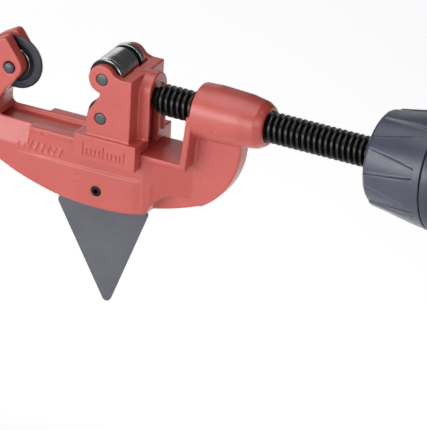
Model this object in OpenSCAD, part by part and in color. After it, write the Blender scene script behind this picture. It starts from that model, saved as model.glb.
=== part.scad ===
// Pipe cutter with a C frame, a screw-fed roller carriage and a folding deburring blade.
// X runs along the feed screw towards the knob, Y across the tool, Z up.
// The origin is the centre of the cutter wheel.

/* [Cutter wheel] */
// Radius of the cutting edge
wheel_r = 9; // [8:0.5:9.5]
// Radius of the thick hub
wheel_hub_r = 5.5; // [4.5:0.5:6]
// Thickness of the hub
wheel_hub_w = 3; // [2.4:0.1:3]
// Radius of the wheel pin and of both roller pins
pin_r = 2; // [1.75:0.05:2.2]

/* [Frame] */
// Half width of the belly
belly_half = 8.3; // [7.8:0.1:8.3]
// Half width of the guide rail
rail_half = 8.5; // [8.4:0.1:8.5]
// Half width of the fork and of the rail beside it
fork_half = 5.7; // [5.5:0.05:6.5]
// Half width of the thin web in the arm
web_half = 2.8; // [2.5:0.1:4]
// Radius of the barrel that carries the feed screw
barrel_r = 9; // [8.6:0.1:9.5]

/* [Feed screw] */
// Outer radius of the screw thread
screw_r = 5; // [5:0.1:5]

/* [Rollers] */
// Radius of both rollers
roller_r = 5.75; // [5:0.05:5.75]
// Distance from the screw axis to each roller axis
roller_rise = 6.7; // [6.6:0.1:7.2]
// Width of the flare groove in each roller
flare_groove_w = 2.2; // [1:0.1:2.4]

/* [Knob] */
// Radius of the grip at its front
knob_front_r = 15.2; // [13:0.2:16]
// Radius of the grip at its seam
knob_back_r = 19; // [18:0.5:20]
// Number of ribs round the grip
rib_count = 8; // [6:1:10]
// Height of the ribs
rib_h = 1; // [0.6:0.1:1.4]

/* [Deburring blade] */
// Thickness of the blade
blade_w = 1.2; // [1:0.1:1.2]

/* [Hidden] */
$fn = 96;

// Running clearance on a radius, and a length that cuts well past a surface
run_gap = 0.05;
past = 40;

// Frame: the belly is an arc, the nose is an arc tangent to it, and the arm is an arc of its own
belly_centre = [34.5, 45.4];
belly_r = 84;
nose_r = 21;
nose_angle = -118;
belly_end_angle = -67.3;
arm_centre = [54, -9];
arm_r = 26.8;
arm_start_angle = -59.5;
nose_centre = belly_centre + (belly_r - nose_r) * [cos(nose_angle), sin(nose_angle)];

// Rail, trough and arm
rail_z = -16.7;
rail_start_x = 9.3;
arm_lean_run = 1.5;
rail_lip_h = 1.7;
trough_half = 4.6;
trough_depth = 1.6;
trough_end_x = 41;
arm_face_x = 62.5;
flange_w = 2.2;
taper_x = [50, 64.5];
bracket_drop = 2.8;
pad_top_z = -26.2;
pad_half = 8.8;
pad_x = [2, 52.5];
pad_taper_x = [20, 47];
pad_end_half = 7.6;
fork_gap = wheel_hub_w + 4 * run_gap;
fork_slot_r = wheel_r + 1.2;
fork_nose_r = 4.25;
fork_nose_z = 0.4;

// Barrel
barrel_x = [65, 89.3];
barrel_mouth_r = 6.1;

// Carriage
roller_x = 35.4;
cheek_in = 8.6;
cheek_out = 11.1;
skirt_out = 12.3;
skirt_x = [27.1, 48.8];
skirt_z = -21.6;
base_z = [-16.6, -12.9];
cheek_back_x = 45.9;
cheek_top_z = 8.1;
block_front_x = 41.7;
boss_back_x = 49.9;
boss_half = 5.9;
boss_top_z = 8.45;
ear_r = 4.7;
roller_half = cheek_in - 2 * run_gap;
flare_groove_y = 4.3;

// Screw end: a button held in the carriage by a narrow neck
washer_x = [43.2, 44];
button_x = [44.05, 46.6];
button_r = 4.2;
neck_r = 2.9;
cone_x = [49.3, 51.4];
cavity_back_x = 46.7;
lip_back_x = 48.9;

// Knob
knob_x = [128.6, 150.2];
knob_round_r = 1.2;
knob_core_x = [130.6, 138.5];
knob_core_r = 7.5;
tang_r = 4;
store_r = 12.5;
store_x = 140.3;
cap_back_x = 158;
cap_round_r = 4;
knob_pin_r = 1.25;
knob_pin_x = 134.5;
rib_front_angle = 11;
rib_back_angle = 33;
rib_phase = 39;
rib_start_x = knob_x[0] + 2;
rib_end_x = knob_x[1] - 2.8;

// Cap and spare wheel
spigot_x = 146;
spigot_r = 12.3;
spigot_wall = 1.8;
seal_x = 148;
seal_ring_r = 0.7;
seal_groove_r = 11;
post_x = [141, 154];
spare_x = 143.5;

// Deburring blade: corner circles as [x, z, radius], turning counter-clockwise
pivot = [33.9, -33];
blade_corners = [
    [35.1, -72.3, 1.5],
    [46.7, -41.2, 1.5],
    [pivot[0], pivot[1], 5],
    [18.7, -43, 2],
];
deburrer_pin_r = 1.7;
deburrer_pin_hole_r = 0.85;
blade_slot_half = 0.9;
blade_sweep_r = 41.6;
washer_r = 4;

// Points along an arc round c, from angle a to angle b
function arc(c, r, a, b, n) =
    [for (i = [0:n]) c + r * [cos(a + (b - a) * i / n), sin(a + (b - a) * i / n)]];

// Angle of the outward normal of the line that touches circles p and q
function side_angle(p, q) =
    atan2(q[1] - p[1], q[0] - p[0]) - 90
    + asin((p[2] - q[2]) / norm([q[0] - p[0], q[1] - p[1]]));

// The same angle as b, written so that it follows a by less than a turn
function after(a, b) = b < a ? after(a, b + 360) : (b - a >= 360 ? after(a, b - 360) : b);

// Outline of a band drawn tight round a convex ring of circles
function band(c, n = 8) = [
    for (i = [0:len(c) - 1])
        let (last = c[(i + len(c) - 1) % len(c)], next = c[(i + 1) % len(c)])
        let (a = side_angle(last, c[i]), b = after(a, side_angle(c[i], next)))
        each arc([c[i][0], c[i][1]], c[i][2], a, b, n)
];

// A plate with an outline in X and Z, from y0 to y1
module y_plate(outline, y0, y1) {
    translate([0, y1, 0])
        rotate([90, 0, 0])
            linear_extrude(y1 - y0)
                polygon(outline);
}

// A bar with an outline in Y and Z, from x0 to x1
module x_bar(outline, x0, x1) {
    translate([x0, 0, 0])
        rotate([90, 0, 90])
            linear_extrude(x1 - x0)
                polygon(outline);
}

// A round bar along Y through x, z
module y_rod(x, z, r, y0, y1) {
    translate([x, y0, z])
        rotate([-90, 0, 0])
            cylinder(r = r, h = y1 - y0);
}

// A round bar or cone along X on the screw axis
module x_rod(x0, x1, r0, r1) {
    translate([x0, 0, 0])
        rotate([0, 90, 0])
            cylinder(r1 = r0, r2 = r1, h = x1 - x0);
}

// A body of revolution round the screw axis, from points of [x, radius]
module x_turned(outline) {
    rotate([0, 90, 0])
        rotate([0, 0, 90])
            rotate_extrude()
                polygon([for (p = outline) [p[1], p[0]]]);
}

// A box between two corners
module block(a, b) {
    translate(a)
        cube(b - a);
}

// Draws the children and their mirror image on the far side
module both_sides() {
    children();
    mirror([0, 1, 0])
        children();
}

// Side outline of the whole C, with the fork at the left and the arm at the right
function c_outline() = concat(
    [[-2.7, 9.6]],
    arc(nose_centre, nose_r, 126, 360 + nose_angle, 20),
    arc(belly_centre, belly_r, nose_angle, belly_end_angle, 20),
    arc(arm_centre, arm_r, arm_start_angle, 0, 20),
    [[arm_centre[0] + arm_r, 0], [arm_face_x + arm_lean_run, 0], [arm_face_x, rail_z]],
    arc([-1.8, rail_z + 2], 2, 270, 180, 6),
    [[-3.8, -12.5], [-2.6, -10.4], [-0.8, -7.6], [1.3, -5]],
    arc([0, fork_nose_z], fork_nose_r, -42, 40, 8),
    [[-0.9, 8.8], [-1.5, 9.4]]
);

// The rail, the bracket under its right end, and the flange that runs up to the barrel
module rail_parts() {
    foot_z = rail_z - rail_lip_h;
    block([rail_start_x, -rail_half, foot_z], [arm_face_x, rail_half, rail_z]);
    x_bar(
        [
            [-belly_half, foot_z], [-web_half, foot_z - bracket_drop],
            [web_half, foot_z - bracket_drop], [belly_half, foot_z],
        ],
        taper_x[0], arm_face_x
    );
    y_plate(
        [
            [arm_face_x - 0.2, foot_z], [arm_face_x + flange_w - 0.2, foot_z],
            [arm_face_x + flange_w + arm_lean_run, 0], [arm_face_x + arm_lean_run, 0],
        ],
        -rail_half, rail_half
    );
}

// The thickened lower part of the belly, which fades out towards the fork and the arm
module pad() {
    intersection() {
        y_plate(c_outline(), -pad_half, pad_half);
        translate([0, 0, -2 * past])
            linear_extrude(2 * past + pad_top_z)
                polygon([
                    [pad_x[0], -belly_half], [pad_taper_x[0], -pad_half], [pad_taper_x[1], -pad_half],
                    [pad_x[1], -pad_end_half], [pad_x[1], pad_end_half],
                    [pad_taper_x[1], pad_half], [pad_taper_x[0], pad_half], [pad_x[0], belly_half],
                ]);
    }
}

module barrel() {
    x_turned([
        [barrel_x[0], 0],
        [barrel_x[0], barrel_r - 0.3],
        [barrel_x[0] + 6, barrel_r],
        [barrel_x[1] - 8, barrel_r - 0.4],
        [barrel_x[1] - 2.5, barrel_r - 1.3],
        [barrel_x[1] - 0.7, barrel_r - 2.3],
        [barrel_x[1], barrel_mouth_r],
        [barrel_x[1], 0],
    ]);
}

// The fork end is narrower than the rail, and its sides spread out below the rail's top
module fork_side_cut() {
    x_bar(
        [
            [fork_half, past],
            [fork_half, rail_z],
            [belly_half, rail_z - 7.3],
            [past, rail_z - 7.3],
            [past, past],
        ],
        -past, rail_start_x
    );
}

// The belly's sides close in towards the arm, whose web is thin
module arm_side_cut() {
    translate([0, 0, -2 * past])
        linear_extrude(3 * past)
            polygon([
                [taper_x[0], belly_half + 0.01],
                [taper_x[1], web_half],
                [3 * past, web_half],
                [3 * past, past],
                [taper_x[0], past],
            ]);
}

// Finger scoops in both sides of the lower edge
module scoop_cut() {
    scoop_r = 9;
    y_rod(60, -39, scoop_r, web_half, past);
    y_rod(67, -39, scoop_r, web_half, past);
    block([60, web_half, -39], [67, past, -39 + scoop_r]);
}

// Space for the blade, open and folded, and for all of its way between them
module blade_slot_cut() {
    outline = concat(
        [[13, -50], [13.5, -41], [29.5, -26.5], [31.5, -15], [46, -15], [46, -17.8], [54.5, -19.1]],
        arc(pivot, blade_sweep_r, 16, -30, 12)
    );
    y_plate(outline, -blade_slot_half, blade_slot_half);
}

module frame() color("indianred") difference() {
    union() {
        difference() {
            y_plate(c_outline(), -belly_half, belly_half);
            both_sides() {
                fork_side_cut();
                arm_side_cut();
            }
        }
        rail_parts();
        pad();
        barrel();
    }
    block([-past, -trough_half, rail_z - trough_depth], [trough_end_x, trough_half, rail_z + 0.01]);
    both_sides()
        scoop_cut();
    y_rod(0, 0, fork_slot_r, -fork_gap / 2, fork_gap / 2);
    y_rod(0, 0, pin_r, -past, past);
    blade_slot_cut();
    y_rod(pivot[0], pivot[1], deburrer_pin_r, -past, past);
    x_rod(barrel_x[0] - 5, barrel_x[1] + 1, screw_r + run_gap, screw_r + run_gap);
}

// A cutter wheel on the Y axis, with its bevelled edge and its bore
module wheel_shape() {
    rotate([90, 0, 0])
        rotate_extrude()
            polygon([
                [pin_r + run_gap, -wheel_hub_w / 2],
                [wheel_hub_r, -wheel_hub_w / 2],
                [wheel_hub_r, -wheel_hub_w / 2 + 0.4],
                [wheel_r, -0.05],
                [wheel_r, 0.05],
                [wheel_hub_r, wheel_hub_w / 2 - 0.4],
                [wheel_hub_r, wheel_hub_w / 2],
                [pin_r + run_gap, wheel_hub_w / 2],
            ]);
}

module cutter_wheel() color("slategray")
    wheel_shape();

module wheel_pin() color("gray") difference() {
    union() {
        y_rod(0, 0, pin_r, -fork_half, fork_half + 1.6);
        intersection() {
            translate([0, -fork_half + 1.6, 0])
                sphere(r = 2.5);
            y_rod(0, 0, pin_r, -fork_half - 2, -fork_half);
        }
    }
    difference() {
        y_rod(0, 0, pin_r + 1, fork_half + 0.3, fork_half + 0.9);
        y_rod(0, 0, pin_r - 0.5, fork_half, fork_half + 1.2);
    }
}

// Open ring that snaps into the groove at the far end of the wheel pin
module wheel_pin_clip() color("dimgray") difference() {
    y_rod(0, 0, pin_r + 1.3, fork_half + 0.35, fork_half + 0.85);
    y_rod(0, 0, pin_r - 0.5, fork_half, fork_half + 2);
    block([-1.1, fork_half, -past], [1.1, fork_half + 2, 0]);
}

// Side outline of a cheek below the two ears
cheek_outline = [
    [roller_x - ear_r, base_z[1]],
    [cheek_back_x, base_z[1]],
    [cheek_back_x, cheek_top_z],
    [41.9, cheek_top_z],
    [40.2, 8.6],
    [38.6, 9.7],
    [34.8, 3],
    [34.8, 1],
    [32.2, -3.2],
    [roller_x - ear_r, -roller_rise],
];

module cheek() {
    for (side = [-1, 1])
        y_rod(roller_x, side * roller_rise, ear_r, cheek_in, cheek_out);
    y_plate(cheek_outline, cheek_in, cheek_out);
}

// T-shaped slot, open below, that drops over the button of the screw
module button_slot_cut() {
    cavity = button_r + 3 * run_gap;
    neck = neck_r + 3 * run_gap;
    mouth = screw_r + 3 * run_gap;
    x_rod(washer_x[0], cavity_back_x, cavity, cavity);
    block([washer_x[0], -cavity, -past], [cavity_back_x, cavity, 0]);
    x_rod(cavity_back_x - 1, lip_back_x + 1, neck, neck);
    block([cavity_back_x - 1, -neck, -past], [lip_back_x + 1, neck, 0]);
    x_rod(lip_back_x, boss_back_x + 1, mouth, mouth);
    block([lip_back_x, -mouth, -past], [boss_back_x + 1, mouth, 0]);
}

module carriage() color("indianred") difference() {
    union() {
        block([skirt_x[0], -skirt_out, base_z[0]], [skirt_x[1], skirt_out, base_z[1]]);
        both_sides() {
            block([skirt_x[0], cheek_in, skirt_z], [skirt_x[1], skirt_out, base_z[1]]);
            cheek();
        }
        block([block_front_x, -cheek_out, base_z[1]], [cheek_back_x, cheek_out, cheek_top_z]);
        x_rod_arch(block_front_x, boss_back_x, boss_half, boss_top_z - boss_half, base_z[1]);
    }
    button_slot_cut();
    for (side = [-1, 1])
        y_rod(roller_x, side * roller_rise, pin_r, -past, past);
}

// Round-topped block along X
module x_rod_arch(x0, x1, r, centre_z, foot_z) {
    translate([0, 0, centre_z])
        x_rod(x0, x1, r, r);
    block([x0, -r, foot_z], [x1, r, centre_z]);
}

module roller_shape() {
    groove_r = roller_r - 1.3;
    edge = 0.4;
    rotate([-90, 0, 0])
        rotate_extrude()
            polygon([
                [pin_r + run_gap, -roller_half],
                [roller_r - edge, -roller_half],
                [roller_r, -roller_half + edge],
                [roller_r, flare_groove_y - flare_groove_w / 2],
                [groove_r, flare_groove_y - flare_groove_w / 2],
                [groove_r, flare_groove_y + flare_groove_w / 2],
                [roller_r, flare_groove_y + flare_groove_w / 2],
                [roller_r, roller_half - edge],
                [roller_r - edge, roller_half],
                [pin_r + run_gap, roller_half],
            ]);
}

module roller_pin_shape() {
    y_rod(0, 0, pin_r, -cheek_out, cheek_out);
}

module upper_roller() color("silver")
    translate([roller_x, 0, roller_rise])
        roller_shape();

module lower_roller() color("silver")
    translate([roller_x, 0, -roller_rise])
        roller_shape();

module upper_roller_pin() color("gray")
    translate([roller_x, 0, roller_rise])
        roller_pin_shape();

module lower_roller_pin() color("gray")
    translate([roller_x, 0, -roller_rise])
        roller_pin_shape();

module thrust_washer() color("lightgray")
    x_rod(washer_x[0], washer_x[1], button_r, button_r);

module spindle() color("dimgray") difference() {
    union() {
        x_rod(button_x[0], button_x[1], button_r, button_r);
        x_rod(button_x[1], cone_x[0], neck_r, neck_r);
        x_rod(cone_x[0], cone_x[1], neck_r, screw_r);
        x_rod(cone_x[1], knob_core_x[0], screw_r, screw_r);
        x_rod(knob_core_x[0], knob_core_x[1], tang_r, tang_r);
    }
    knob_pin_shape();
}

module knob_pin_shape() {
    translate([knob_pin_x, 0, -knob_core_r + 0.2])
        cylinder(r = knob_pin_r, h = 2 * knob_core_r - 0.4);
}

// Outline of the grip between its ribs
grip_outline = concat(
    [[knob_x[0], 0], [knob_x[0], knob_front_r - knob_round_r]],
    arc([knob_x[0] + knob_round_r, knob_front_r - knob_round_r], knob_round_r, 180, 100, 8),
    [[rib_end_x, knob_back_r - 0.4 - rib_h], [rib_end_x, 0]]
);

// Outline of the rib tops, which start a little behind the front
rib_outline = [
    [rib_start_x, 0], [rib_start_x, knob_front_r + 0.4 * rib_h],
    [rib_end_x, knob_back_r - 0.4], [rib_end_x, 0],
];

// Wedge that rises outwards from the axis, narrow at the front and wide at the back
module rib_wedge() {
    front_w = 2 * knob_front_r * sin(rib_front_angle / 2);
    back_w = 2 * knob_back_r * sin(rib_back_angle / 2);
    rotate([90, 0, 0])
        linear_extrude(knob_back_r + 1)
            polygon([
                [knob_x[0], -front_w / 2],
                [rib_end_x, -back_w / 2],
                [rib_end_x, back_w / 2],
                [knob_x[0], front_w / 2],
            ]);
}

module knob() color("slategray") difference() {
    union() {
        x_turned(grip_outline);
        intersection() {
            x_turned(rib_outline);
            for (i = [0:rib_count - 1])
                rotate([-rib_phase - i * 360 / rib_count, 0, 0])
                    rib_wedge();
        }
        x_turned([
            [rib_end_x, 0],
            [rib_end_x, knob_back_r - 0.4],
            [knob_x[1], knob_back_r],
            [knob_x[1], 0],
        ]);
    }
    x_rod(knob_x[0] - 1, knob_core_x[0], screw_r + run_gap, screw_r + run_gap);
    x_rod(knob_core_x[0], knob_core_x[1], knob_core_r, knob_core_r);
    x_rod(store_x, knob_x[1] + 1, store_r, store_r);
}

module knob_core() color("silver") difference() {
    x_rod(knob_core_x[0], knob_core_x[1], knob_core_r, knob_core_r);
    x_rod(knob_core_x[0] - 1, knob_core_x[1] + 1, tang_r, tang_r);
    knob_pin_shape();
}

module knob_pin() color("gray")
    knob_pin_shape();

module knob_cap() color("darkslategray") difference() {
    union() {
        x_turned(concat(
            [[knob_x[1], 0], [knob_x[1], knob_back_r - 0.1]],
            arc([cap_back_x - cap_round_r, knob_back_r - 0.6 - cap_round_r], cap_round_r, 90, 0, 8),
            [[cap_back_x, 0]]
        ));
        x_rod(spigot_x, knob_x[1], spigot_r, spigot_r);
    }
    x_rod(spigot_x - 1, knob_x[1], spigot_r - spigot_wall, spigot_r - spigot_wall);
    x_turned([
        [seal_x - seal_ring_r, seal_groove_r],
        [seal_x - seal_ring_r, spigot_r + 1],
        [seal_x + seal_ring_r, spigot_r + 1],
        [seal_x + seal_ring_r, seal_groove_r],
    ]);
    x_rod(knob_x[1] - 1, post_x[1], pin_r, pin_r);
}

module cap_seal() color("black")
    rotate([0, 90, 0])
        rotate_extrude()
            translate([store_r - run_gap - seal_ring_r, seal_x])
                circle(r = seal_ring_r, $fn = 32);

module spare_wheel_post() color("silver")
    x_rod(post_x[0], post_x[1], pin_r, pin_r);

module spare_wheel() color("slategray")
    translate([spare_x, 0, 0])
        rotate([0, 0, 90])
            wheel_shape();

module deburrer_blade() color("slategray") difference() {
    y_plate(band(blade_corners), -blade_w / 2, blade_w / 2);
    y_rod(pivot[0], pivot[1], deburrer_pin_r + run_gap, -past, past);
}

module deburrer_pin() color("dimgray") difference() {
    y_rod(pivot[0], pivot[1], deburrer_pin_r, -pad_half, pad_half);
    y_rod(pivot[0], pivot[1], deburrer_pin_hole_r, -past, past);
}

module blade_washer_shape() {
    difference() {
        y_rod(pivot[0], pivot[1], washer_r, blade_w / 2 + 0.02, blade_slot_half - 0.02);
        y_rod(pivot[0], pivot[1], deburrer_pin_r + run_gap, -past, past);
    }
}

module near_blade_washer() color("silver")
    mirror([0, 1, 0])
        blade_washer_shape();

module far_blade_washer() color("silver")
    blade_washer_shape();

frame();
cutter_wheel();
wheel_pin();
wheel_pin_clip();
carriage();
upper_roller();
lower_roller();
upper_roller_pin();
lower_roller_pin();
thrust_washer();
spindle();
knob();
knob_core();
knob_pin();
knob_cap();
cap_seal();
spare_wheel_post();
spare_wheel();
deburrer_blade();
deburrer_pin();
near_blade_washer();
far_blade_washer();
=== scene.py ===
import math

import bmesh
import bpy
import numpy as np
from mathutils import Matrix, Vector


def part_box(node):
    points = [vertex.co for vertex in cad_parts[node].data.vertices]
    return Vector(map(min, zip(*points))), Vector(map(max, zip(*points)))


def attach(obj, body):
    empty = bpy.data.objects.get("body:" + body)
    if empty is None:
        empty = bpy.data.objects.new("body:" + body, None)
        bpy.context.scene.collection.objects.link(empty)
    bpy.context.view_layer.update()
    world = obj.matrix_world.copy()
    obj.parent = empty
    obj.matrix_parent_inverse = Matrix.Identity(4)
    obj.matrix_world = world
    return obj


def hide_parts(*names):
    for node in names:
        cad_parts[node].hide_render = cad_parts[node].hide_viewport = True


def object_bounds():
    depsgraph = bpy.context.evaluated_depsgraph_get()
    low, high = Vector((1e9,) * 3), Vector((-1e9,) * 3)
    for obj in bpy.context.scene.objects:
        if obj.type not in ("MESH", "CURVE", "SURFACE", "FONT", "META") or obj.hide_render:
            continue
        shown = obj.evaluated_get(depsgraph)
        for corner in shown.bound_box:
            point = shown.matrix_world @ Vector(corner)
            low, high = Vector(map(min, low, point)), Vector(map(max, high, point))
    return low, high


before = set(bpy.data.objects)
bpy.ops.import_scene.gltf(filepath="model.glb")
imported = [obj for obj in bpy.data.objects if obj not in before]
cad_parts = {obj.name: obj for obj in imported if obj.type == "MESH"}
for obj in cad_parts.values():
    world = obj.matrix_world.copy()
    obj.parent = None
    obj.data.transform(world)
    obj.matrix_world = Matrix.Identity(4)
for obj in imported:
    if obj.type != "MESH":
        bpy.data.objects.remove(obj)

CAD_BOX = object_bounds()
MM = 0.001
SCENE = bpy.context.scene

# Sizes in millimetres
PIN_R = 2.0
PIN_END_R = PIN_R - 0.18
BORE_GAP = 0.05
WHEEL_HUB_R = 5.15
WHEEL_RECESS_R = 6.15
WHEEL_HALF = 1.5
ROLLER_R = 5.75
SCREW_R = 5.0
SCREW_ROOT_R = 3.45
SCREW_LEAD = 2.0
SCREW_BUTTON_R = 4.2
SCREW_NECK_R = 2.9
SCREW_TANG_R = 4.0
KNOB_FRONT_R = 15.2
KNOB_BACK_R = 19.0
KNOB_ROUND_R = 1.6
KNOB_STORE_R = 12.5
KNOB_RIM = 0.4
RIB_COUNT = 8
RIB_H = 1.0
SEAM_HALF = 0.12

# Distances in metres
MERGE_DISTANCE = 2e-7


def mm_box(node):
    """Lowest and highest corner of a CAD node, in millimetres."""
    low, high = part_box(node)
    return low / MM, high / MM


def middle_of(node):
    """Middle of a CAD node's box, in millimetres."""
    low, high = mm_box(node)
    return (low + high) / 2


def smooth_step(t):
    """Rises from 0 to 1 while t goes from 0 to 1, and is level outside."""
    t = min(1.0, max(0.0, t))
    return t * t * (3 - 2 * t)


# ---------------------------------------------------------------- outlines and meshes


def rounded(corners, steps=4, closed=True):
    """Points of an outline whose corners (a, b, size) are rounded off by size."""
    out = []
    count = len(corners)
    for i, (a, b, size) in enumerate(corners):
        here = Vector((a, b))
        is_end = not closed and i in (0, count - 1)
        if size <= 0 or is_end:
            out.append(here)
            continue
        last = Vector(corners[i - 1][:2]) - here
        following = Vector(corners[(i + 1) % count][:2]) - here
        reach = min(size, 0.49 * last.length, 0.49 * following.length)
        start = here + last.normalized() * reach
        end = here + following.normalized() * reach
        for k in range(steps + 1):
            t = k / steps
            out.append(start * (1 - t) ** 2 + here * (2 * t * (1 - t)) + end * t**2)
    return [tuple(p) for p in out]


def lathe(points, segments=128, closed=False):
    """Mesh of revolution round X from (x, radius) points. A radius of 0 is one point on the axis."""
    verts, rings, faces = [], [], []
    for x, r in points:
        if r == 0:
            rings.append([len(verts)])
            verts.append((x, 0.0, 0.0))
            continue
        rings.append(list(range(len(verts), len(verts) + segments)))
        for k in range(segments):
            angle = 2 * math.pi * k / segments
            verts.append((x, r * math.cos(angle), r * math.sin(angle)))
    pairs = list(zip(rings, rings[1:]))
    if closed:
        pairs.append((rings[-1], rings[0]))
    for low, high in pairs:
        for k in range(segments):
            n = (k + 1) % segments
            if len(low) == 1:
                faces.append((low[0], high[n], high[k]))
            elif len(high) == 1:
                faces.append((low[k], low[n], high[0]))
            else:
                faces.append((low[k], low[n], high[n], high[k]))
    return verts, faces


def along_y(mesh, x=0.0, z=0.0):
    """Turns a mesh of revolution from the X axis to an axis along Y through x, z."""
    verts, faces = mesh
    return [(v[1] + x, v[0], -v[2] + z) for v in verts], faces


def plate(outline, y_low, y_high, edge=0.15):
    """Flat plate with an outline in X and Z and a small chamfer along its edges."""
    verts, faces, rings = [], [], []
    inner = inset(outline, edge)
    for shape, y in ((inner, y_low), (outline, y_low + edge), (outline, y_high - edge), (inner, y_high)):
        rings.append(list(range(len(verts), len(verts) + len(shape))))
        verts += [(p[0], y, p[1]) for p in shape]
    for low, high in zip(rings, rings[1:]):
        for k in range(len(outline)):
            n = (k + 1) % len(outline)
            faces.append((low[k], high[k], high[n], low[n]))
    faces.append(tuple(rings[0]))
    faces.append(tuple(reversed(rings[-1])))
    return verts, faces


def inset(outline, distance):
    """The outline, counter-clockwise, moved inwards by a distance."""
    out = []
    for i, here in enumerate(outline):
        a = Vector(here) - Vector(outline[i - 1])
        b = Vector(outline[(i + 1) % len(outline)]) - Vector(here)
        normal = Vector((-a.y, a.x)).normalized() + Vector((-b.y, b.x)).normalized()
        out.append(tuple(Vector(here) + normal.normalized() * distance))
    return out


def joined(*meshes):
    """Several meshes as one list of vertices and faces."""
    verts, faces = [], []
    for part_verts, part_faces in meshes:
        start = len(verts)
        verts += part_verts
        faces += [tuple(i + start for i in face) for face in part_faces]
    return verts, faces


def finish_mesh(mesh, sharp_degrees):
    """Merges doubles, turns the faces outwards and shades smooth up to an angle."""
    bm = bmesh.new()
    bm.from_mesh(mesh)
    bmesh.ops.remove_doubles(bm, verts=bm.verts, dist=MERGE_DISTANCE)
    bmesh.ops.recalc_face_normals(bm, faces=bm.faces)
    bm.to_mesh(mesh)
    bm.free()
    mesh.shade_smooth()
    mesh.set_sharp_from_angle(angle=math.radians(sharp_degrees))


def add_piece(name, mesh_data, body, materials, replaces=(), sharp=35):
    """Makes an object from a mesh in millimetres, and ties it to its CAD body and the nodes it stands
    for.
    """
    verts, faces = mesh_data
    mesh = bpy.data.meshes.new(name)
    mesh.from_pydata([(v[0] * MM, v[1] * MM, v[2] * MM) for v in verts], [], faces)
    finish_mesh(mesh, sharp)
    piece = bpy.data.objects.new(name, mesh)
    SCENE.collection.objects.link(piece)
    for one in materials:
        mesh.materials.append(one)
    return tie(piece, body, replaces)


def tie(piece, body, replaces):
    """Makes a piece ride on its body and stand for its nodes."""
    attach(piece, body)
    if replaces:
        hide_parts(*replaces)
    return piece


def paint_faces(piece, index, test):
    """Gives the faces whose centre, in millimetres, passes the test another material."""
    for face in piece.data.polygons:
        if test(face.center / MM):
            face.material_index = index


# ---------------------------------------------------------------- materials


class Shader:
    """A material whose nodes are added one by one."""

    def __init__(self, name, metallic=0.0, roughness=0.5, specular=0.5):
        self.material = bpy.data.materials.new(name)
        self.material.use_nodes = True
        self.tree = self.material.node_tree
        self.surface = self.tree.nodes["Principled BSDF"]
        self.surface.inputs["Metallic"].default_value = metallic
        self.surface.inputs["Roughness"].default_value = roughness
        self.surface.inputs["Specular IOR Level"].default_value = specular
        self.place = self.node("ShaderNodeTexCoord").outputs["Object"]

    def node(self, kind, **values):
        made = self.tree.nodes.new(kind)
        for key, value in values.items():
            setattr(made, key, value)
        return made

    def link(self, source, target):
        self.tree.links.new(source, target)

    def stretched(self, x, y, z):
        """Object coordinates scaled along each axis."""
        made = self.node("ShaderNodeMapping")
        made.inputs["Scale"].default_value = (x, y, z)
        self.link(self.place, made.inputs["Vector"])
        return made.outputs["Vector"]

    def noise(self, scale, detail=3.0, vector=None, roughness=0.55):
        made = self.node("ShaderNodeTexNoise")
        made.inputs["Scale"].default_value = scale
        made.inputs["Detail"].default_value = detail
        made.inputs["Roughness"].default_value = roughness
        self.link(vector or self.place, made.inputs["Vector"])
        return made.outputs["Fac"]

    def spread(self, value, low, high, out_low=0.0, out_high=1.0):
        made = self.node("ShaderNodeMapRange")
        made.inputs["From Min"].default_value = low
        made.inputs["From Max"].default_value = high
        made.inputs["To Min"].default_value = out_low
        made.inputs["To Max"].default_value = out_high
        self.link(value, made.inputs["Value"])
        return made.outputs["Result"]

    def mix(self, fac, a, b):
        """Colour between a and b by the socket fac. Each of a and b is a colour or a socket."""
        made = self.node("ShaderNodeMix", data_type="RGBA")
        self.link(fac, made.inputs["Factor"])
        for value, target in ((a, made.inputs["A"]), (b, made.inputs["B"])):
            if isinstance(value, tuple):
                target.default_value = (*value, 1)
            else:
                self.link(value, target)
        return [o for o in made.outputs if o.type == "RGBA"][0]

    def pointiness(self):
        return self.node("ShaderNodeNewGeometry").outputs["Pointiness"]

    def bump(self, height, distance_mm, strength=1.0, onto=None):
        made = self.node("ShaderNodeBump")
        made.inputs["Strength"].default_value = strength
        made.inputs["Distance"].default_value = distance_mm * MM
        self.link(height, made.inputs["Height"])
        if onto:
            self.link(onto, made.inputs["Normal"])
        return made.outputs["Normal"]

    def use(self, socket, value):
        self.link(value, self.surface.inputs[socket])

    def coat(self, weight, roughness, ior):
        self.surface.inputs["Coat Weight"].default_value = weight
        self.surface.inputs["Coat Roughness"].default_value = roughness
        self.surface.inputs["Coat IOR"].default_value = ior


def red_paint():
    """Satin enamel: a grainy red under a broad, soft gloss, painted paler on edges as a highlight and
    darker in hollows as shade.
    """
    s = Shader("red_enamel")
    s.coat(1.0, 0.55, 1.65)
    broad = s.spread(s.noise(55, 3), 0.35, 0.65)
    color = s.mix(broad, (0.49, 0.046, 0.033), (0.55, 0.058, 0.041))
    fine = s.spread(s.noise(1900, 2), 0.3, 0.7)
    color = s.mix(s.spread(fine, 0.55, 1.0, 0.0, 0.22), color, (0.66, 0.12, 0.10))
    # Painted highlight: convex edges are painted a paler pinkish red.
    edge = s.spread(s.pointiness(), 0.53, 0.62, 0.0, 0.45)
    color = s.mix(edge, color, (0.78, 0.24, 0.19))
    # Painted shade: hollows and creases are painted a darker red.
    hollow = s.spread(s.pointiness(), 0.47, 0.38, 0.0, 0.5)
    color = s.mix(hollow, color, (0.30, 0.016, 0.014))
    s.use("Base Color", color)
    s.use("Roughness", s.spread(s.noise(240, 4), 0.3, 0.7, 0.27, 0.4))
    peel = s.bump(s.noise(750, 3), 0.05, 0.6)
    s.use("Normal", s.bump(s.noise(3200, 2), 0.018, 0.6, onto=peel))
    return s.material


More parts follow.
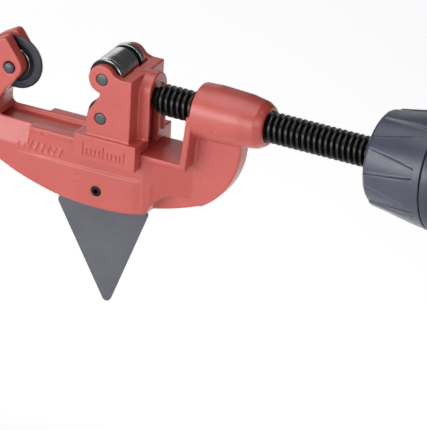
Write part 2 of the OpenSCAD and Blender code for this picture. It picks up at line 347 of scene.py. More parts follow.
def knob_plastic(name, color, light):
    """Moulded plastic with a fine grain, painted paler on edges as a highlight and darker in hollows as
    shade.
    """
    s = Shader(name)
    s.coat(0.9, 0.36, 1.45)
    cloud = s.spread(s.noise(90, 3), 0.35, 0.65)
    tint = s.mix(cloud, color, light)
    # Painted highlight: convex edges are painted a paler slate.
    edge = s.spread(s.pointiness(), 0.52, 0.6, 0.0, 0.5)
    tint = s.mix(edge, tint, tuple(min(1.0, 1.9 * c) for c in light))
    # Painted shade: hollows between the ribs are painted darker.
    hollow = s.spread(s.pointiness(), 0.47, 0.38, 0.0, 0.6)
    tint = s.mix(hollow, tint, tuple(0.3 * c for c in color))
    s.use("Base Color", tint)
    s.use("Roughness", s.spread(s.noise(400, 4), 0.3, 0.7, 0.36, 0.5))
    s.use("Normal", s.bump(s.noise(2600, 3), 0.03, 0.7))
    return s.material


def turned_steel(name, color, light, roughness, stretch):
    """Steel with fine lines left by turning, which vary most along the axis of the largest stretch."""
    s = Shader(name, metallic=1.0)
    lined = s.noise(5200, 2, s.stretched(*stretch))
    cloud = s.noise(160, 4)
    tint = s.mix(s.spread(cloud, 0.3, 0.7), color, light)
    tint = s.mix(s.spread(lined, 0.35, 0.75, 0.0, 0.35), tint, tuple(1.35 * min(c, 0.7) for c in light))
    s.use("Base Color", tint)
    s.use("Roughness", s.spread(lined, 0.3, 0.7, roughness - 0.06, roughness + 0.1))
    s.use("Normal", s.bump(lined, 0.012, 0.5))
    return s.material


def ground_steel(name, color, light, roughness):
    """Steel ground in rings round the Y axis."""
    s = Shader(name, metallic=0.9)
    flat = s.node("ShaderNodeVectorMath", operation="MULTIPLY")
    s.link(s.place, flat.inputs[0])
    flat.inputs[1].default_value = (1.0, 0.0, 1.0)
    length = s.node("ShaderNodeVectorMath", operation="LENGTH")
    s.link(flat.outputs[0], length.inputs[0])
    rings = s.node("ShaderNodeTexNoise", noise_dimensions="1D")
    rings.inputs["Scale"].default_value = 9000
    rings.inputs["Detail"].default_value = 2
    s.link(length.outputs["Value"], rings.inputs["W"])
    ring = rings.outputs["Fac"]
    tint = s.mix(s.spread(s.noise(300, 3), 0.3, 0.7), color, light)
    tint = s.mix(s.spread(ring, 0.4, 0.8, 0.0, 0.4), tint, tuple(1.5 * c for c in light))
    s.use("Base Color", tint)
    s.use("Roughness", s.spread(ring, 0.3, 0.7, roughness - 0.05, roughness + 0.1))
    s.use("Normal", s.bump(ring, 0.01, 0.5))
    return s.material


def plain_steel(name, color, light, roughness, metallic=0.85):
    """Steel with an even, fine grain."""
    s = Shader(name, metallic)
    grain = s.noise(2400, 3)
    tint = s.mix(s.spread(s.noise(220, 4), 0.3, 0.7), color, light)
    tint = s.mix(s.spread(grain, 0.5, 0.8, 0.0, 0.3), tint, tuple(1.4 * c for c in light))
    s.use("Base Color", tint)
    s.use("Roughness", s.spread(s.noise(900, 3), 0.3, 0.7, roughness - 0.07, roughness + 0.09))
    s.use("Normal", s.bump(grain, 0.012, 0.6))
    return s.material


def screw_black():
    """Oiled black steel whose crests are painted bright as a glint."""
    s = Shader("black_oxide", metallic=0.75)
    # Painted highlight: the thread crests are painted a paler grey as their glint.
    crest = s.spread(s.pointiness(), 0.52, 0.62, 0.0, 0.55)
    tint = s.mix(s.spread(s.noise(500, 4), 0.35, 0.7), (0.013, 0.012, 0.012), (0.04, 0.037, 0.036))
    tint = s.mix(crest, tint, (0.17, 0.165, 0.16))
    s.use("Base Color", tint)
    s.use("Roughness", s.spread(s.noise(1500, 3), 0.3, 0.7, 0.24, 0.42))
    s.use("Normal", s.bump(s.noise(3000, 2), 0.01, 0.5))
    return s.material


def blade_grey():
    """Grey sheet with lines drawn along X and brighter cut edges."""
    s = Shader("phosphated_sheet", metallic=0.45)
    drawn = s.noise(700, 3, s.stretched(0.08, 1, 1))
    tint = s.mix(s.spread(s.noise(60, 3), 0.35, 0.65), (0.086, 0.088, 0.108), (0.110, 0.112, 0.137))
    tint = s.mix(s.spread(drawn, 0.4, 0.75, 0.0, 0.3), tint, (0.15, 0.152, 0.18))
    edge = s.spread(s.pointiness(), 0.53, 0.65, 0.0, 0.6)
    tint = s.mix(edge, tint, (0.34, 0.35, 0.38))
    s.use("Base Color", tint)
    s.use("Roughness", s.spread(drawn, 0.3, 0.7, 0.38, 0.5))
    s.use("Normal", s.bump(drawn, 0.01, 0.5))
    return s.material


def rubber():
    s = Shader("black_rubber", roughness=0.6)
    s.use("Base Color", s.mix(s.noise(900, 3), (0.012, 0.012, 0.012), (0.035, 0.035, 0.035)))
    s.use("Normal", s.bump(s.noise(3500, 2), 0.02, 0.6))
    return s.material


RED = red_paint()
KNOB_GREY = knob_plastic("slate_plastic", (0.028, 0.032, 0.062), (0.038, 0.042, 0.080))
CAP_GREY = knob_plastic("dark_slate_plastic", (0.02, 0.022, 0.04), (0.028, 0.03, 0.052))
LINES_ALONG_X = (1, 0.02, 0.02)
LINES_ALONG_Y = (0.02, 1, 0.02)
ROLLER_STEEL = turned_steel("bright_turned_steel", (0.42, 0.43, 0.44), (0.6, 0.61, 0.62), 0.27,
                            LINES_ALONG_Y)
# Near-black steel, used only as painted shade.
SHADE_BLACK = plain_steel("painted_shade_black", (0.006, 0.006, 0.006), (0.012, 0.012, 0.012), 0.5, 0.4)
WHEEL_STEEL = ground_steel("ground_wheel_steel", (0.050, 0.050, 0.060), (0.076, 0.077, 0.092), 0.38)
SPARE_STEEL = turned_steel("ground_spare_steel", (0.13, 0.135, 0.15), (0.2, 0.2, 0.22), 0.3,
                           LINES_ALONG_X)
PIN_STEEL = plain_steel("grey_pin_steel", (0.10, 0.105, 0.115), (0.14, 0.145, 0.16), 0.42)
BRIGHT_STEEL = plain_steel("bright_steel", (0.4, 0.41, 0.42), (0.55, 0.55, 0.56), 0.3, 1.0)
SPRING_STEEL = plain_steel("spring_steel", (0.02, 0.02, 0.022), (0.04, 0.04, 0.044), 0.42)
SCREW_BLACK = screw_black()
BLADE_GREY = blade_grey()
RUBBER = rubber()


# ---------------------------------------------------------------- red die castings


def casting(node, name, body, voxel_mm, marks):
    """The CAD casting with its edges rounded off as a die casting's are, and with its sunk marks."""
    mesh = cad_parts[node].data.copy()
    mesh.materials.clear()
    piece = bpy.data.objects.new(name, mesh)
    SCENE.collection.objects.link(piece)
    skin = piece.modifiers.new("skin", "REMESH")
    skin.mode = "VOXEL"
    skin.voxel_size = voxel_mm * MM
    soft = piece.modifiers.new("soft", "SMOOTH")
    soft.factor = 0.5
    soft.iterations = 5
    graph = bpy.context.evaluated_depsgraph_get()
    result = bpy.data.meshes.new_from_object(piece.evaluated_get(graph))
    piece.modifiers.clear()
    piece.data = result
    engrave(result, *marks)
    result.shade_smooth()
    result.materials.clear()
    result.materials.append(RED)
    return tie(piece, body, (node,))


def engrave(mesh, face_y, marks):
    """Sinks marks into the flat near face at face_y.
    A mark is (middle x, middle z, half width, half height, lean), and lean is its run in x per z."""
    depth = 0.3
    soft_edge = 0.12
    reach_y = 0.3
    margin = 0.5
    facing = -0.8
    bm = bmesh.new()
    bm.from_mesh(mesh)

    def deepest(x, z):
        """How far a point is inside the mark that it is deepest in, and negative outside all of them."""
        inside = [min(half_w - abs(x - x_mid - lean * (z - z_mid)), half_h - abs(z - z_mid))
                  for x_mid, z_mid, half_w, half_h, lean in marks]
        return max(inside)

    def near(face):
        c = face.calc_center_median() / MM
        is_near_face = abs(c.y - face_y) <= reach_y and face.normal.y <= facing
        return is_near_face and deepest(c.x, c.z) > -margin

    for _ in range(2):
        edges = dict.fromkeys(e for f in bm.faces if near(f) for e in f.edges)
        bmesh.ops.subdivide_edges(bm, edges=list(edges), cuts=1, use_grid_fill=True)
    for vert in bm.verts:
        x, y, z = vert.co / MM
        if abs(y - face_y) <= reach_y:
            vert.co.y += depth * MM * smooth_step(deepest(x, z) / soft_edge + 0.5)
    bm.to_mesh(mesh)
    bm.free()


def belly_marks():
    """A plain row of leaning bars on the near side of the belly."""
    face_y = -8.3
    bars = [(6.5 + 2.1 * k, -22.6 - 0.12 * k, 0.42, 1.5, 0.35) for k in range(8)]
    return face_y, bars


def scale_marks():
    """A plain row of ticks, every fifth one longer, over a line on the near skirt."""
    low, high = mm_box("carriage")
    foot = low.z + 2.2
    first_x = 30.6
    pitch = 1.45
    last = 10
    marks = []
    for k in range(last + 1):
        half_height = 1.9 if k % 5 == 0 else 1.2
        marks.append((first_x + pitch * k, foot + half_height, 0.2, half_height, 0.0))
    marks.append((first_x + pitch * last / 2, foot, 7.6, 0.2, 0.0))
    return low.y, marks


casting("frame", "frame_casting", "frame_body", 0.32, belly_marks())
casting("carriage", "carriage_casting", "carriage_body", 0.25, scale_marks())


# ---------------------------------------------------------------- wheel, rollers and pins


def wheel_profile(edge_r):
    """Bevelled cutter wheel: hub, recess, face, bevel and edge."""
    recess_y = -0.5
    face_y = -0.72
    near = [
        (-WHEEL_HALF, PIN_R + BORE_GAP, 0.15),
        (-WHEEL_HALF, WHEEL_HUB_R - 0.12, 0.02), (-WHEEL_HALF + 0.12, WHEEL_HUB_R, 0.02),
        (recess_y, WHEEL_HUB_R + 0.05, 0.1), (recess_y, WHEEL_RECESS_R, 0.1),
        (face_y, WHEEL_RECESS_R + 0.1, 0.1), (-0.42, edge_r - 0.55, 0.1), (-0.03, edge_r, 0.01),
    ]
    return rounded(near + [(-y, r, size) for y, r, size in reversed(near)])


def wheels():
    edge_r = mm_box("cutter_wheel")[1].x
    wheel = lathe(wheel_profile(edge_r), 160, closed=True)
    piece = add_piece("cutting_wheel", along_y(wheel), "wheel_body",
                      [WHEEL_STEEL, SHADE_BLACK, ROLLER_STEEL], ("cutter_wheel",), sharp=25)
    # Painted shade: the hub face and the recess round it are painted near black.
    paint_faces(piece, 1, lambda c: math.hypot(c.x, c.z) < WHEEL_RECESS_R + 0.03)
    # Painted highlight: a thin bright steel ring is painted on the hub's chamfer.
    paint_faces(piece, 2, lambda c: WHEEL_HUB_R - 0.11 < math.hypot(c.x, c.z) < WHEEL_HUB_R - 0.01)
    verts, faces = wheel
    middle_x = middle_of("spare_wheel").x
    spare = [(x + middle_x, y, z) for x, y, z in verts], faces
    add_piece("stored_wheel", spare, "cap_body", [SPARE_STEEL],
              ("spare_wheel",), sharp=25)


def roller_profile(y0, y1, groove_y, groove_half):
    """Roller from y0 to y1 with a fine line near y0, a deep flare groove and a stepped end at y1."""
    line_y = y0 + 1.5
    line_r = ROLLER_R - 0.2
    groove_r = ROLLER_R - 1.25
    return rounded([
        (y0, PIN_R + BORE_GAP, 0.1), (y0, ROLLER_R - 0.3, 0.08), (y0 + 0.3, ROLLER_R, 0.15),
        (line_y, ROLLER_R, 0.02), (line_y + 0.05, line_r, 0.02),
        (line_y + 0.25, line_r, 0.02), (line_y + 0.3, ROLLER_R, 0.02),
        (groove_y - groove_half, ROLLER_R, 0.25), (groove_y - groove_half, groove_r, 0.2),
        (groove_y + groove_half, groove_r, 0.2), (groove_y + groove_half, ROLLER_R, 0.25),
        (y1 - 0.8, ROLLER_R, 0.3), (y1 - 0.35, ROLLER_R - 0.25, 0.3), (y1, ROLLER_R - 0.9, 0.3),
        (y1, PIN_R + BORE_GAP, 0.1),
    ])


def rollers():
    groove_y = 4.3
    groove_half = 1.1
    for side in ("upper", "lower"):
        low, high = mm_box(side + "_roller")
        x, z = (low.x + high.x) / 2, (low.z + high.z) / 2
        y0, y1 = low.y, high.y
        profile = roller_profile(y0, y1, groove_y, groove_half)
        roller = along_y(lathe(profile, 128, closed=True), x, z)
        piece = add_piece("guide_roller_" + side, roller, side + "_roller_body",
                          [ROLLER_STEEL, SHADE_BLACK], (side + "_roller",), sharp=30)
        # Painted shade: the flare groove is painted near black.
        paint_faces(piece, 1, lambda c: abs(c.y - groove_y) < groove_half + 0.02
                    and math.hypot(c.x - x, c.z - z) < ROLLER_R - 0.12)
        # Painted shade: both end faces are painted near black.
        paint_faces(piece, 1, lambda c: c.y < y0 + 0.05 or c.y > y1 - 0.05)


def pin_tail(y1):
    """Chamfered far end of a pin, as a list of points that ends on the axis."""
    return [(y1 - 0.3, PIN_END_R), (y1 - 0.05, PIN_END_R - 0.2), (y1, PIN_END_R - 0.35), (y1, 0)]


def pin_body(y0, y1):
    """Shank of a pin, thinner at its two ends, so that a dark ring shows round them."""
    return [(y0 + 0.3, PIN_END_R), (y0 + 1.2, PIN_END_R), (y0 + 1.4, PIN_R),
            (y1 - 1.4, PIN_R), (y1 - 1.2, PIN_END_R)]


def flush_pin(y0, y1):
    """Pin with two flat, chamfered ends."""
    start = [(y0, 0), (y0, PIN_END_R - 0.3), (y0 + 0.12, PIN_END_R - 0.06)]
    return start + pin_body(y0, y1) + pin_tail(y1)


def domed_pin(y0, y1):
    """Pin with a domed near end that starts at y0, and a groove for its clip at the far end."""
    dome = 0.85
    groove_y = y1 - 1.3
    groove_w = 0.6
    neck_r = PIN_R - 0.5
    rim = y0 + dome
    start = [(rim - dome * math.cos(a), PIN_END_R * math.sin(a))
             for a in (math.radians(10 * k) for k in range(9))]
    body = [spot for spot in pin_body(rim, y1) if spot[0] < groove_y - 0.2]
    groove = [(groove_y, PIN_END_R), (groove_y, neck_r),
              (groove_y + groove_w, neck_r), (groove_y + groove_w, PIN_END_R)]
    return start + body + groove + pin_tail(y1)


def pins():
    sink = 0.05
    for side in ("upper", "lower"):
        low, high = mm_box(side + "_roller_pin")
        x, z = (low.x + high.x) / 2, (low.z + high.z) / 2
        pin = along_y(lathe(flush_pin(low.y + sink, high.y - sink), 64), x, z)
        add_piece("flush_pin_" + side, pin, "carriage_body",
                  [PIN_STEEL], (side + "_roller_pin",))
    low, high = mm_box("wheel_pin")
    axle = along_y(lathe(domed_pin(low.y, high.y), 64))
    add_piece("wheel_axle", axle, "frame_body", [PIN_STEEL], ("wheel_pin",))


def clip():
    """Open spring ring in the groove of the wheel pin."""
    low, high = mm_box("wheel_pin_clip")
    inner, outer = PIN_R - 0.45, PIN_R + 1.2
    gap = math.radians(38)
    steps = 48
    start = -math.pi / 2 + gap
    angles = [start + (2 * math.pi - 2 * gap) * k / steps for k in range(steps + 1)]
    ring = [(outer * math.cos(a), outer * math.sin(a)) for a in angles]
    ring += [(inner * math.cos(a), inner * math.sin(a)) for a in reversed(angles)]
    add_piece("snap_ring", plate(ring, low.y, high.y, 0.08), "frame_body",
              [SPRING_STEEL], ("wheel_pin_clip",))


def blade_pin():
    """Hollow spring pin that the blade turns on, and its two friction washers."""
    low, high = mm_box("deburrer_pin")
    x, z = (low.x + high.x) / 2, (low.z + high.z) / 2
    outer, inner = (high.x - low.x) / 2, 0.85
    profile = rounded([
        (low.y, inner, 0.08), (low.y, outer - 0.3, 0.12), (low.y + 0.4, outer, 0.15),
        (high.y - 0.4, outer, 0.15), (high.y, outer - 0.3, 0.12), (high.y, inner, 0.08),
    ])
    add_piece("hollow_blade_pin", along_y(lathe(profile, 64, closed=True), x, z), "frame_body",
              [SPRING_STEEL], ("deburrer_pin",))
    washer_r = 3.95
    hole_r = outer + 0.06
    for side in ("near", "far"):
        w_low, w_high = mm_box(side + "_blade_washer")
        ring = rounded([
            (w_low.y, hole_r, 0.03), (w_low.y, washer_r, 0.05),
            (w_high.y, washer_r, 0.05), (w_high.y, hole_r, 0.03),
        ])
        add_piece("friction_washer_" + side, along_y(lathe(ring, 64, closed=True), x, z),
                  "frame_body", [BRIGHT_STEEL], (side + "_blade_washer",))


wheels()
rollers()
pins()
clip()
blade_pin()


# ---------------------------------------------------------------- feed screw


def thread_radius(position):
    """Radius of the thread at a fraction of one lead, from crest to crest."""
    crest, flank = 0.13, 0.22
    away = min(position, 1 - position)
    return SCREW_R + (SCREW_ROOT_R - SCREW_R) * smooth_step((away - crest) / flank)


def thread_mesh(x0, x1, tip_r):
    """Right-hand thread from x0 to x1, with a cone before it and a chamfer after it, down to tip_r."""
    cone_length = 2.6
    chamfer_length = 0.8
    columns = 64
    rows_per_turn = 14
    turns = math.ceil((x1 - x0) / SCREW_LEAD) + 2
    row_count = turns * rows_per_turn
    verts, faces = [], []
    for row in range(row_count + 1):
        for column in range(columns):
            turn = row / rows_per_turn + column / columns - 1
            x = x0 + SCREW_LEAD * turn
            cone_r = tip_r + (SCREW_R - tip_r) * max(0.0, x - x0) / cone_length
            chamfer_r = tip_r + (SCREW_R - tip_r) * max(0.0, x1 - x) / chamfer_length
            r = min(thread_radius(row / rows_per_turn % 1.0), cone_r, chamfer_r)
            angle = 2 * math.pi * column / columns
            verts.append((min(x1, max(x0, x)), -r * math.cos(angle), -r * math.sin(angle)))
    for row in range(row_count):
        for column in range(columns):
            a = row * columns + column
            d = a + columns
            if column < columns - 1:
                faces.append((a, a + 1, d + 1, d))
            elif row + rows_per_turn < row_count:
                b = (row + rows_per_turn) * columns
                faces.append((a, b, b + columns, d))
    return verts, faces


def spindle():
    low, high = mm_box("spindle")
    thread_end = mm_box("knob_core")[0].x
    button_end = low.x + 2.5
    neck_end = low.x + 5.6
    button = rounded([
        (low.x, 0, 0), (low.x, SCREW_BUTTON_R - 0.3, 0.4), (low.x + 0.4, SCREW_BUTTON_R, 0.3),
        (button_end, SCREW_BUTTON_R, 0.3), (button_end, SCREW_NECK_R, 0.3),
        (neck_end, SCREW_NECK_R, 0.5), (neck_end, 0, 0),
    ], closed=False)
    tang = rounded([
        (thread_end - 1, 0, 0), (thread_end - 1, SCREW_TANG_R, 0.1),
        (high.x, SCREW_TANG_R, 0.4), (high.x, 0, 0),
    ], closed=False)
    thread = thread_mesh(neck_end - 0.6, thread_end, SCREW_NECK_R - 0.1)
    add_piece("feed_screw", joined(lathe(button, 64), thread, lathe(tang, 64)), "screw_body",
              [SCREW_BLACK], ("spindle",), sharp=50)


def thrust_disc():
    low, high = mm_box("thrust_washer")
    disc_r = SCREW_BUTTON_R - 0.1
    disc = rounded([
        (low.x, 0, 0), (low.x, disc_r, 0.15), (high.x, disc_r, 0.15), (high.x, 0, 0),
    ], closed=False)
    add_piece("thrust_disc", lathe(disc, 64), "carriage_body",
              [BRIGHT_STEEL], ("thrust_washer",))


spindle()
thrust_disc()


# ---------------------------------------------------------------- knob


RIB_END_GAP = 2.8


def grip_radius(x, x0, x1):
    """Radius of the grip between its ribs, on a knob from x0 to x1."""
    slope_start = x0 + KNOB_ROUND_R
    if x < slope_start:
        inside = slope_start - x
        return KNOB_FRONT_R - KNOB_ROUND_R + math.sqrt(max(0.0, KNOB_ROUND_R**2 - inside**2))
    rise = KNOB_BACK_R - KNOB_RIM - RIB_H - KNOB_FRONT_R
    return KNOB_FRONT_R + rise * (x - slope_start) / (x1 - RIB_END_GAP - slope_start)


def rib_section(half, wall, pitch):
    """Spots (angle, height from 0 to 1) over one rib, its two walls and the pocket beside it."""
    spots = [(half * t, 1.0) for t in np.linspace(-1, 1, 11)]
    spots += [(half + wall * t, 1 - smooth_step(t)) for t in np.linspace(0.2, 1, 5)]
    pocket = pitch - 2 * half - 2 * wall
    spots += [(half + wall + pocket * t, 0.0) for t in np.linspace(0.1, 0.9, 9)]
    spots += [(pitch - half - wall * t, 1 - smooth_step(t)) for t in np.linspace(1, 0.2, 5)]
    return spots


def knob_rows(x0, x1):
    """Places along the knob, closest where its front rounds off and where its ribs start and end."""
    rib_end = x1 - RIB_END_GAP
    steps = [x0 + KNOB_ROUND_R * (1 - math.cos(math.radians(9 * k))) for k in range(11)]
    steps += [steps[-1] + 0.2 * k for k in range(1, 10)]
    body_start, body_end = steps[-1], rib_end - 1.2
    steps += [body_start + (body_end - body_start) * k / 22 for k in range(1, 23)]
    steps += [body_end + 1.6 * k / 9 for k in range(1, 10)]
    return steps + [x1 - 1.8, x1 - 0.9, x1 - 0.35, x1 - SEAM_HALF]


def knob_ring(x, x0, x1):
    """Points round the knob at x. Each rib widens and rises from a rounded tip behind the front."""
    front_width, back_width = math.radians(11), math.radians(33)
    wall = 0.6
    phase = math.radians(39)
    tip_x = x0 + 0.4
    rib_end = x1 - RIB_END_GAP
    pitch = 2 * math.pi / RIB_COUNT
    grip_r = grip_radius(x, x0, x1)
    along = min(1.0, (x - x0) / (rib_end - x0))
    half = (front_width + (back_width - front_width) * along) / 2
    half *= 0.35 + 0.65 * math.sqrt(smooth_step((x - tip_x) / 1.8))
    rise = RIB_H * smooth_step((x - tip_x) / 1.3) * (0.6 + 0.4 * smooth_step((x - x0 - 3.0) / 14.0))
    closing = smooth_step((x - (rib_end - 0.45)) / 0.45)
    rim_rise = KNOB_BACK_R - KNOB_RIM - grip_radius(rib_end, x0, x1)
    edge_pull = 0.22 * smooth_step((x - (x1 - 0.35)) / 0.23)
    points = []
    for rib in range(RIB_COUNT):
        for offset, raised in rib_section(half, wall / grip_r, pitch):
            height = rise * raised * (1 - closing) + rim_rise * closing
            r = min(KNOB_BACK_R, grip_r + height) - edge_pull
            a = rib * pitch + offset + phase
            points.append((x, -r * math.cos(a), r * math.sin(a)))
    return points


def knob():
    low, high = mm_box("knob")
    x0, x1 = low.x, high.x
    rings = [knob_ring(x, x0, x1) for x in knob_rows(x0, x1)]
    columns = len(rings[0])
    verts = [point for ring in rings for point in ring]
    faces = []
    for row in range(len(rings) - 1):
        here, after = row * columns, (row + 1) * columns
        for k in range(columns):
            n = (k + 1) % columns
            faces.append((here + k, here + n, after + n, after + k))
    back = x1 - SEAM_HALF
    floor_x = mm_box("knob_core")[1].x + 1.8
    bore_r = SCREW_R + 0.05
    hollow = lathe([
        (back, KNOB_BACK_R - 0.9), (back, KNOB_STORE_R), (floor_x, KNOB_STORE_R), (floor_x, bore_r),
        (x0 + 0.4, bore_r), (x0, bore_r + 0.4), (x0, grip_radius(x0, x0, x1) - 2.5),
    ], columns)
    add_piece("ribbed_knob", stitch_rings((verts, faces), hollow, columns), "screw_body",
              [KNOB_GREY], ("knob",), sharp=40)


def stitch_rings(skin, hollow, columns):
    """Joins the ribbed skin to the turned inside of the knob at its back and front rims."""
    verts, faces = skin
    last_row = len(verts) - columns
    start = len(verts)
    hollow_verts, hollow_faces = hollow
    turned = []
    for i, (x, y, z) in enumerate(hollow_verts):
        _, y_skin, z_skin = verts[i % columns]
        scale = math.hypot(y, z) / math.hypot(y_skin, z_skin)
        turned.append((x, y_skin * scale, z_skin * scale))
    faces = faces + [tuple(i + start for i in face) for face in hollow_faces]
    hollow_last = start + len(turned) - columns
    for k in range(columns):
        n = (k + 1) % columns
        faces.append((last_row + k, last_row + n, start + n, start + k))
        faces.append((hollow_last + k, hollow_last + n, n, k))
    return verts + turned, faces


def driving_bush():
    """Steel bush that drives the knob, and the cross pin that locks it to the screw."""
    low, high = mm_box("knob_core")
    bush_r = 7.5
    core = rounded([
        (low.x, SCREW_TANG_R, 0.1), (low.x, bush_r, 0.3),
        (high.x, bush_r, 0.3), (high.x, SCREW_TANG_R, 0.1),
    ])
    add_piece("driving_bush", lathe(core, 64, closed=True), "screw_body",
              [BRIGHT_STEEL], ("knob_core",))
    half, cross_r = bush_r - 0.3, 1.25
    cross = rounded([
        (-half, 0, 0), (-half, cross_r, 0.3), (half, cross_r, 0.3), (half, 0, 0),
    ], closed=False)
    verts, faces = lathe(cross, 32)
    pin_x = middle_of("knob_pin").x
    add_piece("cross_pin", ([(pin_x + y, z, x) for x, y, z in verts], faces), "screw_body",
              [PIN_STEEL], ("knob_pin",))


def knob_cap():
    low, high = mm_box("knob_cap")
    seam = mm_box("knob")[1].x + SEAM_HALF
    x0, x1 = low.x, high.x
    r = KNOB_BACK_R
    spigot_r = KNOB_STORE_R - 0.2
    bore_r = 10.5
    dimple_x = x1 - 0.6
    outline = rounded([
        (seam, bore_r, 0), (seam, r - 0.45, 0.2), (seam + 0.38, r - 0.12, 0.3),
        (x1 - 3.4, r - 0.4, 2.0), (x1 - 0.9, r - 2.6, 2.0), (x1, r - 5.2, 1.2), (x1, r - 8.0, 0.6),
        (dimple_x, r - 8.7, 0.5), (dimple_x, 2.6, 0.4), (x1, 2.1, 0.4), (x1, 0, 0),
    ], steps=6, closed=False)
    seal_low, seal_high = mm_box("cap_seal")
    groove_r = spigot_r - 1.2
    spigot = rounded([
        (x0, bore_r, 0.2), (x0, spigot_r - 0.2, 0.4), (seal_low.x, spigot_r, 0.1),
        (seal_low.x, groove_r, 0.2), (seal_high.x, groove_r, 0.2), (seal_high.x, spigot_r, 0.1),
        (seam, spigot_r, 0.1), (seam, bore_r, 0),
    ])
    cap = joined(lathe([(seam, 0)] + outline, 160), lathe(spigot, 160, closed=True))
    add_piece("end_cap", cap, "cap_body", [CAP_GREY], ("knob_cap",), sharp=40)


def seal_ring():
    middle_x = middle_of("cap_seal").x
    middle_r = KNOB_STORE_R - 0.75
    wire_r = 0.68
    angles = [2 * math.pi * k / 20 for k in range(20)]
    seal = [(middle_x + wire_r * math.cos(a), middle_r + wire_r * math.sin(a)) for a in angles]
    add_piece("seal_ring", lathe(seal, 96, closed=True), "cap_body",
              [RUBBER], ("cap_seal",))


def wheel_post():
    low, high = mm_box("spare_wheel_post")
    post_r = PIN_R - BORE_GAP
    end_x = high.x - 1
    post = rounded([
        (low.x, 0, 0), (low.x, post_r, 0.3), (end_x, post_r, 0.1), (end_x, 0, 0),
    ], closed=False)
    add_piece("wheel_post", lathe(post, 48), "cap_body",
              [BRIGHT_STEEL], ("spare_wheel_post",))


knob()
driving_bush()
knob_cap()
seal_ring()
wheel_post()


# ---------------------------------------------------------------- deburring blade


def band(circles, steps=10):
    """Outline drawn tight round a convex, counter-clockwise ring of circles (x, z, radius)."""
    def side(p, q):
        run = math.hypot(q[0] - p[0], q[1] - p[1])
        return math.atan2(q[1] - p[1], q[0] - p[0]) - math.pi / 2 + math.asin((p[2] - q[2]) / run)

    points = []
    count = len(circles)
    for i, here in enumerate(circles):
        a = side(circles[i - 1], here)
        b = side(here, circles[(i + 1) % count])
        while b < a:
            b += 2 * math.pi
        for k in range(steps + 1):
            angle = a + (b - a) * k / steps
            points.append((here[0] + here[2] * math.cos(angle), here[1] + here[2] * math.sin(angle)))
    return points


def blade():
    """Triangular blade with rounded corners. Its outline is laid out from the pin that it turns on."""
    low, high = mm_box("deburrer_blade")
    pivot = middle_of("deburrer_pin")
    tip, heel, boss, nose = (1.2, -39.3, 1.5), (12.8, -8.2, 1.5), (0, 0, 5.0), (-15.2, -10.0, 2.0)
    corners = [(pivot.x + x, pivot.z + z, r) for x, z, r in (tip, heel, boss, nose)]
    add_piece("reamer_blade", plate(band(corners), low.y, high.y, 0.14), "blade_body",
              [BLADE_GREY], ("deburrer_blade",), sharp=30)


blade()


# ---------------------------------------------------------------- floor, light and camera

VIEW_AZIMUTH = 26.3
VIEW_ELEVATION = 25.06
VIEW_ROLL = 2.85
VIEW_DISTANCE = 5.0
VIEW_AIM = Vector((0.0711, 0.0, -0.0350))
IMAGE_LONG_SIDE = 430
PIXELS_PER_METRE = 3200
SENSOR_WIDTH = 36
FLOOR_DROP = 0.09
FLOOR_GLOW = 0.07
FLOOR_GLOW_BEHIND = 0.5
SKY_STRENGTH = 0.066


def add_floor():
    """Pale floor that glows behind the object, so that the background there is white."""
    low, high = CAD_BOX
    middle = (low + high) / 2
    half = 3.0
    corners = [(-half, -half), (half, -half), (half, half), (-half, half)]
    verts = [(middle.x + x, middle.y + y, low.z - FLOOR_DROP) for x, y in corners]
    mesh = bpy.data.meshes.new("floor")
    mesh.from_pydata(verts, [], [(0, 1, 2, 3)])
    s = Shader("pale_floor", roughness=0.7, specular=0.2)
    pale = s.mix(s.noise(4, 2), (0.92, 0.92, 0.925), (0.95, 0.95, 0.95))
    s.use("Base Color", pale)
    s.use("Emission Color", pale)
    across = s.node("ShaderNodeSeparateXYZ")
    s.link(s.place, across.inputs["Vector"])
    behind = s.spread(across.outputs["Y"], -0.05, 0.12, FLOOR_GLOW, FLOOR_GLOW + FLOOR_GLOW_BEHIND)
    s.use("Emission Strength", behind)
    mesh.materials.append(s.material)
    floor = bpy.data.objects.new("floor", mesh)
    SCENE.collection.objects.link(floor)


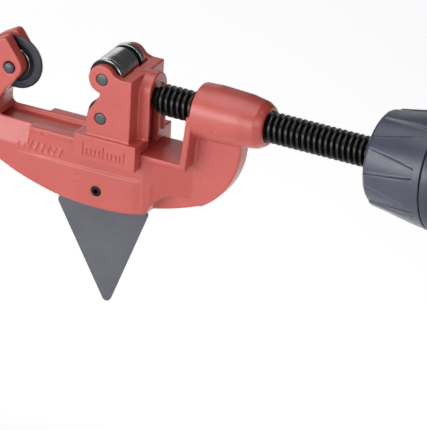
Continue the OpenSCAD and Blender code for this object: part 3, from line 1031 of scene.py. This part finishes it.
def add_light(name, place, size, power):
    """Soft box at a place, turned towards the middle of the view."""
    data = bpy.data.lights.new(name, "AREA")
    data.shape = "RECTANGLE"
    data.size, data.size_y = size
    data.energy = power
    lamp = bpy.data.objects.new(name, data)
    lamp.location = place
    lamp.rotation_mode = "QUATERNION"
    lamp.rotation_quaternion = (VIEW_AIM - Vector(place)).to_track_quat("-Z", "Y")
    SCENE.collection.objects.link(lamp)


def add_lights():
    add_light("top_softbox", (-0.12, -0.12, 0.73), (0.8, 0.6), 2.9)
    add_light("front_softbox", (-0.32, -0.79, 0.2), (0.95, 0.4), 5.9)
    add_light("right_softbox", (0.62, -0.62, 0.3), (0.4, 0.4), 1.7)
    add_light("roller_card", (-0.42, 0.69, 0.19), (0.3, 0.45), 0.45)
    world = bpy.data.worlds.new("soft_surround")
    world.use_nodes = True
    sky = world.node_tree.nodes["Background"]
    sky.inputs["Color"].default_value = (1, 1, 1, 1)
    sky.inputs["Strength"].default_value = SKY_STRENGTH
    SCENE.world = world


def add_camera():
    """Camera far away with a long lens, for a nearly parallel view."""
    a, e, roll = (math.radians(v) for v in (VIEW_AZIMUTH, VIEW_ELEVATION, VIEW_ROLL))
    back = Vector((math.sin(a) * math.cos(e), -math.cos(a) * math.cos(e), math.sin(e)))
    level = Vector((math.cos(a), math.sin(a), 0))
    right = level * math.cos(roll) + back.cross(level) * math.sin(roll)
    up = back.cross(right)
    data = bpy.data.cameras.new("camera")
    data.sensor_width = SENSOR_WIDTH
    data.lens = PIXELS_PER_METRE * VIEW_DISTANCE * SENSOR_WIDTH / IMAGE_LONG_SIDE
    data.clip_start, data.clip_end = 0.1, 8 * VIEW_DISTANCE
    camera = bpy.data.objects.new("camera", data)
    turn = Matrix((right, up, back)).transposed().to_4x4()
    camera.matrix_world = Matrix.Translation(VIEW_AIM + back * VIEW_DISTANCE) @ turn
    SCENE.collection.objects.link(camera)
    SCENE.camera = camera


add_floor()
add_lights()
add_camera()
SCENE.view_settings.view_transform = "Standard"
